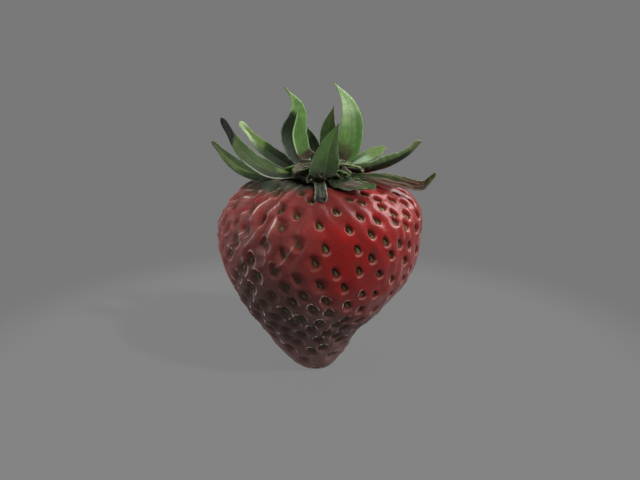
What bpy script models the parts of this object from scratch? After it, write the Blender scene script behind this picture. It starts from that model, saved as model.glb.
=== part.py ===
"""A ripe strawberry with its leafy cap, standing on a small flat spot at its tip.

Metres, +Z up. The origin is the middle of the flat spot. The front of the berry faces -Y.
Lengths below are in millimetres and are turned into metres when a mesh is made.
"""

import math
from dataclasses import dataclass

import bmesh
import bpy
from mathutils import Matrix, Vector
from mathutils.bvhtree import BVHTree

MM = 0.001
GAP = 0.3

# The fruit: one solid piece of flesh, described by level stations from the foot to the crown.
# Each station is its height and how far the flesh reaches left, right, front and back.
FOOT_RADIUS = 3.0
FLESH_STATIONS = (
    (0.0, FOOT_RADIUS, FOOT_RADIUS, FOOT_RADIUS, FOOT_RADIUS),
    (0.5, 3.8, 3.5, 3.7, 3.7),
    (2.0, 5.7, 4.7, 5.3, 5.3),
    (5.0, 8.3, 6.7, 7.6, 7.4),
    (9.0, 10.8, 9.2, 10.1, 10.0),
    (14.0, 14.3, 14.2, 14.2, 14.0),
    (19.0, 16.9, 18.1, 17.2, 17.0),
    (24.0, 18.7, 20.3, 18.9, 18.6),
    (28.0, 18.9, 20.7, 19.3, 19.0),
    (32.0, 18.1, 20.9, 18.8, 18.6),
    (35.5, 15.5, 18.9, 16.4, 16.6),
    (37.8, 12.0, 15.0, 12.6, 13.2),
    (38.9, 8.4, 10.6, 8.8, 9.4),
    (38.6, 6.0, 7.6, 6.2, 6.6),
    (37.9, 4.4, 5.6, 4.6, 4.8),
)
FLESH_SIDES = 40
RINGS_PER_STATION = 2
CROWN_LEAN = 0.05
CROWN_LEAN_FROM = 25.0
CROWN_LEAN_TO = 37.0

# The cap: a low disc in the hollow of the crown, with the torn end of the stalk on it.
CAP_CENTRE = Vector((1.0, 0.0, 0.0))
DISC_RADIUS = 4.0
DISC_FOOT = 38.3
DISC_EDGE = 39.1
DISC_TOP = 39.7
DISC_SIDES = 24
DISC_FOOT_SHARE = 0.75
DISC_EDGE_SHARE = 0.93
DISC_TOP_SHARE = 0.6
STALK_RADIUS = 1.1
STALK_WAIST_RADIUS = 0.99
STALK_TIP_RADIUS = 0.85
STALK_HEIGHT = 2.6
STALK_SIDES = 12

# The sepals: thin leaves with a curved cross-section.
SEPAL_THICKNESS = 0.5
SEPAL_LENGTH_STEPS = 14
SEPAL_WIDTH_STEPS = 4
SEPAL_CLEARANCE = 0.39
SEPAL_ROUND_FROM = 0.92
SEPAL_END_WIDTH = 0.14
FLATTEST_CUP = 1.0
TANGENT_STEP = 0.01
BESIDE_SHARE = 0.5

FLESH_ROUGHNESS = 0.25
SEPAL_ROUGHNESS = 0.55
FIBRE_ROUGHNESS = 0.6

RED = (0.42, 0.02, 0.02, 1.0)
GREEN = (0.10, 0.20, 0.05, 1.0)
PALE_GREEN = (0.22, 0.36, 0.12, 1.0)
BROWN = (0.16, 0.09, 0.05, 1.0)


@dataclass(frozen=True)
class Sepal:
    """One leaf of the cap: its midrib in millimetres, from the disc to the tip, and its blade.

    heading is the way it leaves the disc, in degrees from +X towards +Y. The blade lies level
    across that heading and is turned about its midrib by roll, at its base and at its tip.
    cup is how far its two halves curl up, in degrees from midrib to edge: first the half on
    the right of that heading, then the other. taper is how long the blade keeps its width.
    """

    name: str
    heading: float
    midrib: tuple
    half_width: float
    widest: float = 0.4
    base_share: float = 0.5
    cup: tuple = (35.0, 35.0)
    roll: tuple = (0.0, 0.0)
    taper: float = 1.0
    tip_width: float = 0.22
    colour: tuple = GREEN


SEPALS = (
    Sepal("sepal_left_low", 172, ((-3.7, 0.4, 39.0), (-9.0, 1.0, 38.9), (-13.6, 1.4, 40.0),
          (-16.8, 1.7, 42.2), (-19.9, 2.0, 45.6)), 1.8, roll=(-25, -45), cup=(15, 15),
          tip_width=0.60),
    Sepal("sepal_left_broad", 192, ((-3.5, -1.4, 39.7), (-7.2, -2.2, 40.1), (-11.1, -3.0, 42.1),
          (-14.2, -3.6, 45.4), (-17.1, -3.8, 50.5)), 1.95, roll=(-30, -65), cup=(15, 15),
          tip_width=0.75),
    Sepal("sepal_back_left", 150, ((-2.5, 1.9, 39.4), (-7.0, 4.9, 41.5), (-11.2, 6.6, 44.4),
          (-15.2, 8.0, 48.7)), 1.6, roll=(-30, -45), cup=(20, 20), base_share=0.4,
          tip_width=0.75),
    Sepal("sepal_curled", 122, ((-2.2, 3.3, 41.0), (-3.9, 3.6, 42.6), (-4.9, 5.3, 46.4),
          (-3.9, 6.4, 50.7), (-4.4, 6.0, 53.3), (-5.9, 5.4, 55.6)), 3.6, widest=0.30,
          base_share=0.88, cup=(30, 60), taper=1.9),
    Sepal("sepal_back", 100, ((0.5, 4.7, 39.8), (-0.4, 7.2, 43.8), (-1.6, 8.4, 47.6)), 1.4),
    Sepal("sepal_back_small", 78, ((1.7, 2.7, 40.2), (2.4, 4.6, 44.5), (2.8, 5.0, 48.5),
          (3.6, 5.2, 52.0)), 1.7, widest=0.45, taper=1.4),
    Sepal("sepal_tall", 62, ((2.9, 4.4, 39.7), (5.9, 6.1, 41.9), (7.1, 7.1, 47.0),
          (6.5, 7.4, 52.0), (3.6, 6.5, 56.5)), 2.45, widest=0.45, base_share=0.8,
          cup=(25, 25), roll=(0, 60), taper=1.3, colour=PALE_GREEN),
    Sepal("sepal_back_right", 30, ((5.4, 2.1, 40.0), (8.9, 3.9, 41.6), (11.7, 6.1, 42.6),
          (14.0, 8.0, 43.7)), 1.5, roll=(25, 35), cup=(20, 20), base_share=0.35, widest=0.6,
          tip_width=0.8, colour=PALE_GREEN),
    Sepal("sepal_right_long", 2, ((5.7, 0.1, 39.5), (10.9, 0.4, 40.3), (14.4, 0.6, 41.4),
          (17.6, 0.8, 43.2), (20.2, 1.0, 45.8)), 2.5, cup=(50, 40), roll=(-30, -35),
          base_share=0.85, tip_width=1.1),
    Sepal("sepal_right_dried", -26, ((5.2, -2.2, 39.2), (10.8, -4.2, 39.5), (15.6, -5.0, 38.8),
          (19.7, -5.6, 38.3), (22.1, -6.0, 40.8)), 1.5, cup=(20, 20), roll=(20, 50),
          tip_width=0.45, colour=BROWN),
    Sepal("sepal_front_right", -60, ((3.3, -4.1, 39.2), (6.3, -8.3, 38.9), (10.8, -10.5, 39.0)),
          2.3, cup=(15, 15), roll=(15, 20), tip_width=0.9),
    Sepal("sepal_front_stub", -95, ((0.6, -4.6, 38.8), (0.9, -8.6, 38.8), (1.1, -11.8, 37.6),
          (1.1, -13.0, 36.6)), 1.25, widest=0.85, base_share=0.45, cup=(45, 45),
          tip_width=1.1),
    Sepal("sepal_front_keeled", -82, ((1.5, -3.0, 40.2), (1.5, -7.1, 40.2), (2.0, -8.2, 43.0),
          (2.7, -7.4, 46.1), (4.3, -5.6, 49.7)), 2.7, widest=0.36, base_share=0.7,
          cup=(30, 30), taper=1.1),
)


def through(points, along):
    """Return the point at a share along a smooth curve through all the given points."""
    last = len(points) - 1
    place = min(max(along, 0.0), 1.0) * last
    start = min(int(place), last - 1)
    share = place - start
    here, there = Vector(points[start]), Vector(points[start + 1])
    before = Vector(points[start - 1]) if start > 0 else here * 2 - there
    after = Vector(points[start + 2]) if start + 2 <= last else there * 2 - here
    leave, arrive = (there - before) / 2, (after - here) / 2
    return (
        here * (2 * share**3 - 3 * share**2 + 1)
        + leave * (share**3 - 2 * share**2 + share)
        + there * (3 * share**2 - 2 * share**3)
        + arrive * (share**3 - share**2)
    )


def smooth_step(value, low, high):
    """Return 0 below low, 1 above high and a smooth rise between them."""
    share = min(max((value - low) / (high - low), 0.0), 1.0)
    return share * share * (3 - 2 * share)


def finish_object(name, mesh, colour, roughness):
    """Link a mesh to the scene as a named object with its own plain material."""
    material = bpy.data.materials.new(name)
    material.use_nodes = True
    shader = material.node_tree.nodes["Principled BSDF"]
    shader.inputs["Base Color"].default_value = colour
    shader.inputs["Roughness"].default_value = roughness
    shader.inputs["Metallic"].default_value = 0.0
    mesh.materials.append(material)
    mesh.shade_smooth()
    piece = bpy.data.objects.new(name, mesh)
    bpy.context.scene.collection.objects.link(piece)
    return piece


def skin_mesh(name, rings):
    """Join closed rings of points, in millimetres, into one closed mesh with flat ends."""
    shape = bmesh.new()
    loops = [[shape.verts.new(point * MM) for point in ring] for ring in rings]
    for lower, upper in zip(loops, loops[1:]):
        for side in range(len(lower)):
            following = (side + 1) % len(lower)
            shape.faces.new((lower[side], lower[following], upper[following], upper[side]))
    shape.faces.new(loops[0])
    shape.faces.new(loops[-1])
    bmesh.ops.recalc_face_normals(shape, faces=shape.faces)
    if shape.calc_volume(signed=True) < 0:
        bmesh.ops.reverse_faces(shape, faces=shape.faces)
    mesh = bpy.data.meshes.new(name)
    shape.to_mesh(mesh)
    shape.free()
    return mesh


def flesh_ring(along):
    """Return one ring of the fruit's skin at a share of the way from the foot to the crown."""
    station_parts = [(Vector(station[:3]), Vector((station[3], station[4], 0.0)))
                     for station in FLESH_STATIONS]
    height, left, right = through([part[0] for part in station_parts], along)
    front, back, _ = through([part[1] for part in station_parts], along)
    ring = []
    for side in range(FLESH_SIDES):
        turn = 2 * math.pi * side / FLESH_SIDES
        across = math.cos(turn) * (right if math.cos(turn) > 0 else left)
        deep = math.sin(turn) * (back if math.sin(turn) > 0 else front)
        lean = CROWN_LEAN * deep * smooth_step(height, CROWN_LEAN_FROM, CROWN_LEAN_TO)
        ring.append(Vector((across, deep, height + lean)))
    return ring


def build_flesh():
    """Make the fruit's flesh: a loft from the flat foot to the hollow in the crown."""
    steps = (len(FLESH_STATIONS) - 1) * RINGS_PER_STATION
    rings = [flesh_ring(step / steps) for step in range(steps + 1)]
    return finish_object("flesh", skin_mesh("flesh", rings), RED, FLESH_ROUGHNESS)


def turned_rings(profile, sides):
    """Return level rings about the middle of the cap, one for each radius and height."""
    return [
        [
            CAP_CENTRE + Vector((radius * math.cos(2 * math.pi * side / sides),
                                 radius * math.sin(2 * math.pi * side / sides), height))
            for side in range(sides)
        ]
        for radius, height in profile
    ]


def build_disc():
    """Make the green disc that carries the sepals."""
    profile = (
        (DISC_RADIUS * DISC_FOOT_SHARE, DISC_FOOT),
        (DISC_RADIUS, (DISC_FOOT + DISC_EDGE) / 2),
        (DISC_RADIUS * DISC_EDGE_SHARE, DISC_EDGE),
        (DISC_RADIUS * DISC_TOP_SHARE, DISC_TOP),
    )
    rings = turned_rings(profile, DISC_SIDES)
    mesh = skin_mesh("calyx_disc", rings)
    return finish_object("calyx_disc", mesh, GREEN, FIBRE_ROUGHNESS)


def build_stalk():
    """Make the torn end of the stalk, standing on the disc."""
    foot = DISC_TOP + GAP
    profile = (
        (STALK_RADIUS, foot),
        (STALK_WAIST_RADIUS, foot + STALK_HEIGHT / 2),
        (STALK_TIP_RADIUS, foot + STALK_HEIGHT),
    )
    rings = turned_rings(profile, STALK_SIDES)
    mesh = skin_mesh("stalk_stub", rings)
    return finish_object("stalk_stub", mesh, PALE_GREEN, FIBRE_ROUGHNESS)


def sepal_half_width(sepal, along):
    """Return a blade's half width: fullest at widest, then tapering to a rounded tip."""
    if along < sepal.widest:
        swell = smooth_step(along, -0.1, sepal.widest)
        width = sepal.base_share + (1 - sepal.base_share) * swell
    else:
        fall = (along - sepal.widest) / (1 - sepal.widest)
        width = max(1 - fall, 0.0) ** sepal.taper * (1 + sepal.taper * fall)
    width = max(sepal.half_width * width, sepal.tip_width)
    nearing = max(along - SEPAL_ROUND_FROM, 0.0) / (1 - SEPAL_ROUND_FROM)
    return max(width * math.sqrt(1 - nearing**2), SEPAL_END_WIDTH)


def sepal_section(sepal, along, skin):
    """Return a blade's closed cross-section: its top face from right to left, then its back.

    Points that would come too near the fruit's skin are lifted off it.
    """
    centre = through(sepal.midrib, along)
    tangent = through(sepal.midrib, along + TANGENT_STEP)
    tangent -= through(sepal.midrib, along - TANGENT_STEP)
    tangent.normalize()
    heading = math.radians(sepal.heading)
    level = Vector((-math.sin(heading), math.cos(heading), 0.0))
    level = (level - tangent * level.dot(tangent)).normalized()
    roll = sepal.roll[0] + (sepal.roll[1] - sepal.roll[0]) * along
    across = Matrix.Rotation(math.radians(roll), 3, tangent) @ level
    upward = tangent.cross(across)
    half_width = sepal_half_width(sepal, along)
    top, back = [], []
    for place in range(SEPAL_WIDTH_STEPS + 1):
        share = 2 * place / SEPAL_WIDTH_STEPS - 1
        cup = sepal.cup[1] if share > 0 else sepal.cup[0]
        curl = math.radians(max(cup, FLATTEST_CUP))
        angle = share * curl
        side = math.sin(angle) / curl * half_width
        rise = (1 - math.cos(angle)) / curl * half_width
        normal = upward * math.cos(angle) - across * math.sin(angle)
        point = centre + across * side + upward * rise
        over = point + normal * SEPAL_THICKNESS / 2
        under = point - normal * SEPAL_THICKNESS / 2
        lift = lift_off(skin, under)
        top.append(over + lift)
        back.append(under + lift)
    return top + back[::-1]


def lift_off(skin, point):
    """Return the move that takes a point clear of the fruit's skin.

    A point that lies beside the skin's edge rather than over the skin is left where it is.
    """
    nearest, normal, _, distance = skin.find_nearest(point * MM)
    height = (point * MM - nearest).dot(normal) / MM
    if abs(height) < BESIDE_SHARE * distance / MM:
        return Vector((0.0, 0.0, 0.0))
    return normal * max(SEPAL_CLEARANCE - height, 0.0)


def build_sepal(sepal, skin):
    """Make one sepal as a thin closed blade that follows its midrib."""
    rings = [
        sepal_section(sepal, step / SEPAL_LENGTH_STEPS, skin)
        for step in range(SEPAL_LENGTH_STEPS + 1)
    ]
    mesh = skin_mesh(sepal.name, rings)
    return finish_object(sepal.name, mesh, sepal.colour, SEPAL_ROUGHNESS)


def main():
    """Clear the scene and build the strawberry."""
    for old in list(bpy.data.objects):
        bpy.data.objects.remove(old, do_unlink=True)
    flesh = build_flesh()
    shape = bmesh.new()
    shape.from_mesh(flesh.data)
    skin = BVHTree.FromBMesh(shape)
    shape.free()
    build_disc()
    build_stalk()
    for sepal in SEPALS:
        build_sepal(sepal, skin)


main()
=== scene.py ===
"""A ripe strawberry with its leafy cap, finished for close viewing around the fixed frame.

Blender 4.5, metres, +Z up. The frame holds the flesh, the disc, the torn stalk and the thirteen
sepals as plain solids. Each of them is replaced here by a fine mesh of the same size and place,
and the seeds, the withered stamens and bracts and the fuzz are added. Lengths are in
millimetres until a mesh is made.
"""

import logging
import math
from dataclasses import dataclass, field
from enum import Enum
from typing import Any

import bmesh
import bpy
from mathutils import Matrix, Vector
from mathutils.bvhtree import BVHTree


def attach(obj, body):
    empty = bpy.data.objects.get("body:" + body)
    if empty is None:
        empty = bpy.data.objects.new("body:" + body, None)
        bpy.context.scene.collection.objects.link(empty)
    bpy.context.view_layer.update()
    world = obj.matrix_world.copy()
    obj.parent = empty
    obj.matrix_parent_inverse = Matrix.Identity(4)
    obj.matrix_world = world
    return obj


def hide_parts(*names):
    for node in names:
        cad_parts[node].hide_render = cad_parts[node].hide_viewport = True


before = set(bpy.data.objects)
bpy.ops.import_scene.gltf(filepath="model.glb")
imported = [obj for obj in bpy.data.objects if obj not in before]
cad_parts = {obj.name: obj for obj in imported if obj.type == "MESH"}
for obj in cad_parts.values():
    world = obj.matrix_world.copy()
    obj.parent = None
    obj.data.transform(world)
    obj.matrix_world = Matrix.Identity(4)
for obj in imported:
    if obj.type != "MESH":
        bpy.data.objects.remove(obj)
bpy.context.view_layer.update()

LOG = logging.getLogger("strawberry")
MM = 0.001
TO_MM = 1 / MM
GOLDEN_TURN = math.pi * (3 - math.sqrt(5))
UP = (0.0, 0.0, 1.0)
BODY = "root"

Colour = tuple[float, float, float]
Point = tuple[float, float, float]
Span = tuple[float, float]


class Slot(Enum):
    """The record's material slots."""

    FLESH = "flesh"
    LEAF = "leaf"
    DRIED_LEAF = "dried_leaf"
    STALK = "stalk"


class Wire:
    """One output in a node tree. Sums are written on it as on a plain number or vector."""

    def __init__(self, wiring: "Wiring", socket: bpy.types.NodeSocket) -> None:
        """Keep the output and the wiring that it belongs to."""
        self.wiring = wiring
        self.socket = socket

    def __add__(self, other: Any) -> "Wire":
        """Add a number or vector."""
        return self.wiring.work("ADD", self, other)

    def __sub__(self, other: Any) -> "Wire":
        """Subtract a number or vector."""
        return self.wiring.work("SUBTRACT", self, other)

    def __rsub__(self, other: Any) -> "Wire":
        """Subtract this from a plain number or vector."""
        return self.wiring.work("SUBTRACT", other, self)

    def __mul__(self, other: Any) -> "Wire":
        """Multiply by a number."""
        return self.wiring.work("MULTIPLY", self, other)

    def __truediv__(self, other: Any) -> "Wire":
        """Divide by a number."""
        return self.wiring.work("DIVIDE", self, other)

    def ramp(self, low: Any, high: Any, start: Any = 0, end: Any = 1,
             smooth: bool = True) -> "Wire":
        """Carry this number from one range to another, held at both ends.

        Args:
            low: Where the first range starts.
            high: Where it ends.
            start: The result at low.
            end: The result at high.
            smooth: Whether the change eases in and out.

        Returns:
            The result.
        """
        kind = "SMOOTHSTEP" if smooth else "LINEAR"
        return self.wiring.out("ShaderNodeMapRange", self, low, high, start, end,
                               interpolation_type=kind)


def is_vector(value: Any) -> bool:
    """Tell a vector or colour from a number, whether it is a wire or plain."""
    return (value.socket.type in ("VECTOR", "RGBA") if isinstance(value, Wire)
            else isinstance(value, tuple))


class Wiring:
    """Adds nodes to one tree and joins them. It serves shader and geometry trees alike."""

    MIX_SOCKETS = {"FLOAT": (2, 3, 0), "RGBA": (6, 7, 2)}

    def __init__(self, tree: bpy.types.NodeTree) -> None:
        """Keep the tree that the nodes go into."""
        self.tree = tree

    def feed(self, socket: bpy.types.NodeSocket, value: Any) -> None:
        """Link a wire to an input socket, or write a plain value on it.

        Args:
            socket: The input to feed.
            value: A wire, a plain value, or None to leave the default.
        """
        if isinstance(value, Wire):
            self.tree.links.new(value.socket, socket)
        elif value is not None:
            socket.default_value = (*value, 1.0) if socket.type == "RGBA" else value

    def call(self, kind: str, *values: Any, **named: Any) -> bpy.types.Node:
        """Add one node and feed its inputs.

        Args:
            kind: The node's type name.
            values: Wires or plain values for its first inputs.
            named: More inputs by name, with _ for a space, and settings in lower case.

        Returns:
            The node.
        """
        node = self.tree.nodes.new(kind)
        for name, value in named.items():
            if name[0].islower():
                setattr(node, name, value)
        for place, value in enumerate(values):
            self.feed(node.inputs[place], value)
        for name, value in named.items():
            if name[0].isupper():
                self.feed(node.inputs[name.replace("_", " ")], value)
        return node

    def out(self, kind: str, *values: Any, output: int | str = 0, **named: Any) -> Wire:
        """Add one node, fed as in call, and return one of its outputs."""
        return Wire(self, self.call(kind, *values, **named).outputs[output])

    def work(self, operation: str, *terms: Any) -> Wire:
        """Work out one sum of numbers or of vectors.

        Args:
            operation: The operation of the Math or Vector Math node.
            terms: The numbers or vectors. MULTIPLY takes a vector and a number too.

        Returns:
            The result.
        """
        wide = [is_vector(term) for term in terms]
        if not any(wide):
            return self.out("ShaderNodeMath", *terms, operation=operation)
        if operation == "MULTIPLY":
            return self.out("ShaderNodeVectorMath", terms[0], Scale=terms[1], operation="SCALE")
        output = "Value" if operation in ("DOT_PRODUCT", "LENGTH") else "Vector"
        return self.out("ShaderNodeVectorMath", *terms, operation=operation, output=output)

    def mix(self, share: Any, first: Any, second: Any, blend: str = "MIX") -> Wire:
        """Blend two numbers or two colours.

        Args:
            share: How much of the second shows, 0 to 1.
            first: The first number or colour.
            second: The second.
            blend: The blend of two colours.

        Returns:
            The result.
        """
        data = "RGBA" if is_vector(first) else "FLOAT"
        one, two, output = self.MIX_SOCKETS[data]
        node = self.call("ShaderNodeMix", share, data_type=data, blend_type=blend)
        self.feed(node.inputs[one], first)
        self.feed(node.inputs[two], second)
        return Wire(self, node.outputs[output])

    def layers(self, colour: Any, *layers: tuple[Any, Any]) -> Wire:
        """Lay colours over one another.

        Args:
            colour: The lowest colour.
            layers: How much of each further colour shows, and the colour.

        Returns:
            The result.
        """
        for share, tint in layers:
            colour = self.mix(share, colour, tint)
        return colour

    def noise(self, place: Any, scale: float, **more: Any) -> Wire:
        """Add a cloudy pattern of about 0.5, with a scale in cells for each unit of the place."""
        return self.out("ShaderNodeTexNoise", Vector=place, Scale=scale, **more)

    def axes(self, place: Wire) -> list[Wire]:
        """Split a vector into its three numbers."""
        return [Wire(self, part) for part in self.call("ShaderNodeSeparateXYZ", place).outputs]

    def join(self, across: Any, deep: Any, up: Any) -> Wire:
        """Make a vector from three numbers."""
        return self.out("ShaderNodeCombineXYZ", across, deep, up)

    def polar(self, turn: Wire, reach: Any, up: Any) -> Wire:
        """Make a vector from a turn, the reach that way and a height."""
        return self.join(self.work("COSINE", turn) * reach, self.work("SINE", turn) * reach, up)


class SkinShader(Wiring):
    """The wiring of one surface material: a Principled shader with what it reads."""

    def __init__(self, name: str) -> None:
        """Make the material with its Principled shader.

        Args:
            name: The material's name.
        """
        self.material = bpy.data.materials.new(name)
        self.material.use_nodes = True
        super().__init__(self.material.node_tree)
        self.shader = self.tree.nodes["Principled BSDF"]

    def set(self, **inputs: Any) -> None:
        """Feed inputs of the Principled shader, named with _ for a space."""
        for name, value in inputs.items():
            self.feed(self.shader.inputs[name.replace("_", " ")], value)

    def place(self) -> Wire:
        """Return the place on the piece, in millimetres."""
        return self.out("ShaderNodeTexCoord", output="Object") * TO_MM

    def attribute(self, name: str) -> Wire:
        """Return a number stored on the mesh."""
        return self.out("ShaderNodeAttribute", attribute_name=name, output="Fac")

    def near(self, place: Wire, middle: Point, reach: float, core: float) -> Wire:
        """Return 1 within a share of the reach round a middle, fading to 0 at the reach."""
        return self.work("LENGTH", place - middle).ramp(reach, core * reach)

    def bump(self, height: Wire, depth: float) -> None:
        """Roughen the surface by a height of 0 to 1 that stands for a depth in millimetres."""
        self.set(Normal=self.out("ShaderNodeBump", Height=height, Distance=depth * MM))


@dataclass(frozen=True)
class Ring:
    """How copies of a piece stand in a ring, each the golden angle on from the last.

    The pairs give the least and the greatest: reach from the centre and height above it in
    millimetres, lean in radians, and scale.
    """

    centre: Point
    reach: Span
    height: Span
    lean: tuple[Point, Point]
    scale: Span


class ShapeTree(Wiring):
    """One Geometry Nodes tree with named inputs, run once on a carrier mesh."""

    KINDS = {int: "NodeSocketInt", float: "NodeSocketFloat",
             bpy.types.Material: "NodeSocketMaterial",
             bpy.types.Collection: "NodeSocketCollection"}

    def __init__(self, name: str, **inputs: Any) -> None:
        """Make the tree.

        Args:
            name: The tree's name.
            inputs: The value of each named input, with _ for a space in its name.
        """
        super().__init__(bpy.data.node_groups.new(name, "GeometryNodeTree"))
        self.values = {label.replace("_", " "): value for label, value in inputs.items()}
        sockets = [("Geometry", "OUTPUT", "NodeSocketGeometry"),
                   ("Geometry", "INPUT", "NodeSocketGeometry")]
        sockets += [(label, "INPUT", self.KINDS[type(value)])
                    for label, value in self.values.items()]
        for label, way, kind in sockets:
            self.tree.interface.new_socket(name=label, in_out=way, socket_type=kind)
        self.given = self.call("NodeGroupInput").outputs
        self.result = self.call("NodeGroupOutput").inputs[0]

    def __getitem__(self, label: str) -> Wire:
        """Return one of the tree's named inputs."""
        return Wire(self, self.given[label])

    def geo(self, kind: str, *values: Any, **named: Any) -> Wire:
        """Add one geometry node, fed as in call, and return its first output."""
        return self.out("GeometryNode" + kind, *values, **named)

    def random(self, low: Any, high: Any, offset: int = 0) -> Wire:
        """Draw a number or vector for each point.

        Args:
            low: The lowest.
            high: The highest.
            offset: What is added to the tree's seed.

        Returns:
            The draw.
        """
        seed = self["Seed"] + offset if offset else self["Seed"]
        kind = "FunctionNodeRandomValue"
        if is_vector(low):
            return self.out(kind, low, high, Seed=seed, data_type="FLOAT_VECTOR")
        return self.out(kind, None, None, low, high, Seed=seed, data_type="FLOAT", output=1)

    def store(self, shape: Wire, **values: Wire) -> Wire:
        """Store values on every point of a shape.

        Args:
            shape: The shape.
            values: The values by name.

        Returns:
            The shape with them.
        """
        for name, value in values.items():
            kind = "FLOAT_VECTOR" if is_vector(value) else "FLOAT"
            shape = self.geo("StoreNamedAttribute", shape, Name=name, Value=value,
                             data_type=kind, domain="POINT")
        return shape

    def number(self, name: str) -> Wire:
        """Return a number stored on the shape."""
        return self.geo("InputNamedAttribute", name, data_type="FLOAT")

    def vector(self, name: str) -> Wire:
        """Return a vector stored on the shape."""
        return self.geo("InputNamedAttribute", name, data_type="FLOAT_VECTOR")

    def borrow(self, source: Wire, value: Wire, index: Wire) -> Wire:
        """Read a value of another shape at the point with an index."""
        kind = "FLOAT_VECTOR" if is_vector(value) else "FLOAT"
        return self.geo("SampleIndex", source, value, Index=index, data_type=kind, domain="POINT")

    def strew(self, piece: Wire, ring: Ring) -> Wire:
        """Set copies of a piece in a ring.

        Args:
            piece: The piece.
            ring: How they stand.

        Returns:
            The copies, as instances.
        """
        turn = self.geo("InputIndex") * GOLDEN_TURN
        away, up = (self.random(low * MM, high * MM, offset)
                    for offset, (low, high) in enumerate((ring.reach, ring.height)))
        spot = self.polar(turn, away, up) + tuple(value * MM for value in ring.centre)
        points = self.geo("SetPosition", self.geo("Points", self["Count"]), Position=spot)
        return self.geo("InstanceOnPoints", points, Instance=piece,
                        Rotation=self.random(*ring.lean) + self.join(0, 0, turn),
                        Scale=self.random(*ring.scale))

    def finish(self, shape: Wire, smooth: bool = True) -> None:
        """End the tree: make instances real, shade them and give them their material.

        Args:
            shape: The finished shape.
            smooth: Whether its shading is smooth.
        """
        shape = self.geo("RealizeInstances", shape)
        if smooth:
            shape = self.geo("SetShadeSmooth", shape)
        self.feed(self.result, self.geo("SetMaterial", shape, Material=self["Material"]))

    def run(self, name: str, source: bpy.types.Mesh | None = None) -> bpy.types.Object:
        """Run the tree and keep its result as a plain mesh.

        Args:
            name: The finished object's name.
            source: The mesh that the tree starts from, if it needs one.

        Returns:
            The finished object, linked to the scene.
        """
        carrier = link_object(name + "_carrier", source or bpy.data.meshes.new(name + "_start"))
        modifier = carrier.modifiers.new("shape", "NODES")
        modifier.node_group = self.tree
        for item in self.tree.interface.items_tree:
            if item.in_out == "INPUT" and item.name in self.values:
                modifier[item.identifier] = self.values[item.name]
        graph = bpy.context.evaluated_depsgraph_get()
        mesh = bpy.data.meshes.new_from_object(carrier.evaluated_get(graph), depsgraph=graph,
                                               preserve_all_data_layers=True)
        carrier.modifiers.clear()
        bpy.data.objects.remove(carrier, do_unlink=True)
        mesh.name = name
        return link_object(name, mesh)


def in_metres(part: Any, *names: str) -> dict[str, float]:
    """Return some of a part's sizes in metres, labelled for the inputs of a tree."""
    return {name.title(): getattr(part, name) * MM for name in names}


def link_object(name: str, data: Any) -> bpy.types.Object:
    """Put a mesh, light or camera in the scene as an object at the origin.

    Args:
        name: The object's name.
        data: The mesh, light or camera.

    Returns:
        The object.
    """
    piece = bpy.data.objects.new(name, data)
    bpy.context.scene.collection.objects.link(piece)
    return piece


def smooth_step(value: float, low: float, high: float) -> float:
    """Return 0 below low, 1 above high and a smooth rise between them."""
    share = min(max((value - low) / (high - low), 0.0), 1.0)
    return share * share * (3 - 2 * share)


def through(points: Any, along: float) -> Vector:
    """Find a place on a smooth curve through points.

    Args:
        points: The points, first to last.
        along: The share of the way, 0 to 1.

    Returns:
        The point at that share.
    """
    last = len(points) - 1
    place = min(max(along, 0.0), 1.0) * last
    start = min(int(place), last - 1)
    share = place - start
    here, there = Vector(points[start]), Vector(points[start + 1])
    before = Vector(points[start - 1]) if start > 0 else here * 2 - there
    after = Vector(points[start + 2]) if start + 2 <= last else there * 2 - here
    leave, arrive = (there - before) / 2, (after - here) / 2
    return (
        here * (2 * share**3 - 3 * share**2 + 1)
        + leave * (share**3 - 2 * share**2 + share)
        + there * (3 * share**2 - 2 * share**3)
        + arrive * (share**3 - share**2)
    )


def skin_rings(name: str, rings: list[list[Vector]], thin: bool = False) -> bpy.types.Mesh:
    """Join closed rings of points into one closed mesh.

    Args:
        name: The mesh's name.
        rings: The rings, in millimetres, each with the same number of points.
        thin: Whether the rings are flat sections, whose ends close as strips from face to face.

    Returns:
        The mesh, with its faces pointing out.
    """
    shape = bmesh.new()
    loops = [[shape.verts.new(point * MM) for point in ring] for ring in rings]
    count = len(loops[0])
    for lower, upper in zip(loops, loops[1:]):
        for side in range(count):
            following = (side + 1) % count
            shape.faces.new((lower[side], lower[following], upper[following], upper[side]))
    for loop in (loops[0], loops[-1]):
        if thin:
            for side in range(count // 2 - 1):
                shape.faces.new((loop[side], loop[side + 1], loop[-side - 2], loop[-side - 1]))
        else:
            shape.faces.new(loop)
    bmesh.ops.recalc_face_normals(shape, faces=shape.faces)
    if shape.calc_volume(signed=True) < 0:
        bmesh.ops.reverse_faces(shape, faces=shape.faces)
    mesh = bpy.data.meshes.new(name)
    shape.to_mesh(mesh)
    shape.free()
    mesh.shade_smooth()
    return mesh


def declare(piece: bpy.types.Object, slot: Slot, *nodes: str) -> None:
    """Say what a finished piece rides on and what it replaces.

    Args:
        piece: The finished piece.
        slot: The record's slot of its finish. Not used.
        nodes: The frame's nodes that it stands for.
    """
    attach(piece, BODY)
    if nodes:
        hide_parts(*nodes)
    LOG.info("%s: %d faces, in place of %s", piece.name, len(piece.data.polygons),
             ", ".join(nodes) or "nothing")


def present(mesh: bpy.types.Mesh, material: bpy.types.Material, slot: Slot,
            node: str) -> bpy.types.Object:
    """Args:
        mesh: The mesh, with the piece's name.
        material: Its material.
        slot: The record's slot of its finish, passed on but not used.
        node: The node that it replaces.

    Returns:
        The piece.
    """
    mesh.materials.append(material)
    piece = link_object(mesh.name, mesh)
    declare(piece, slot, node)
    return piece


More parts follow.
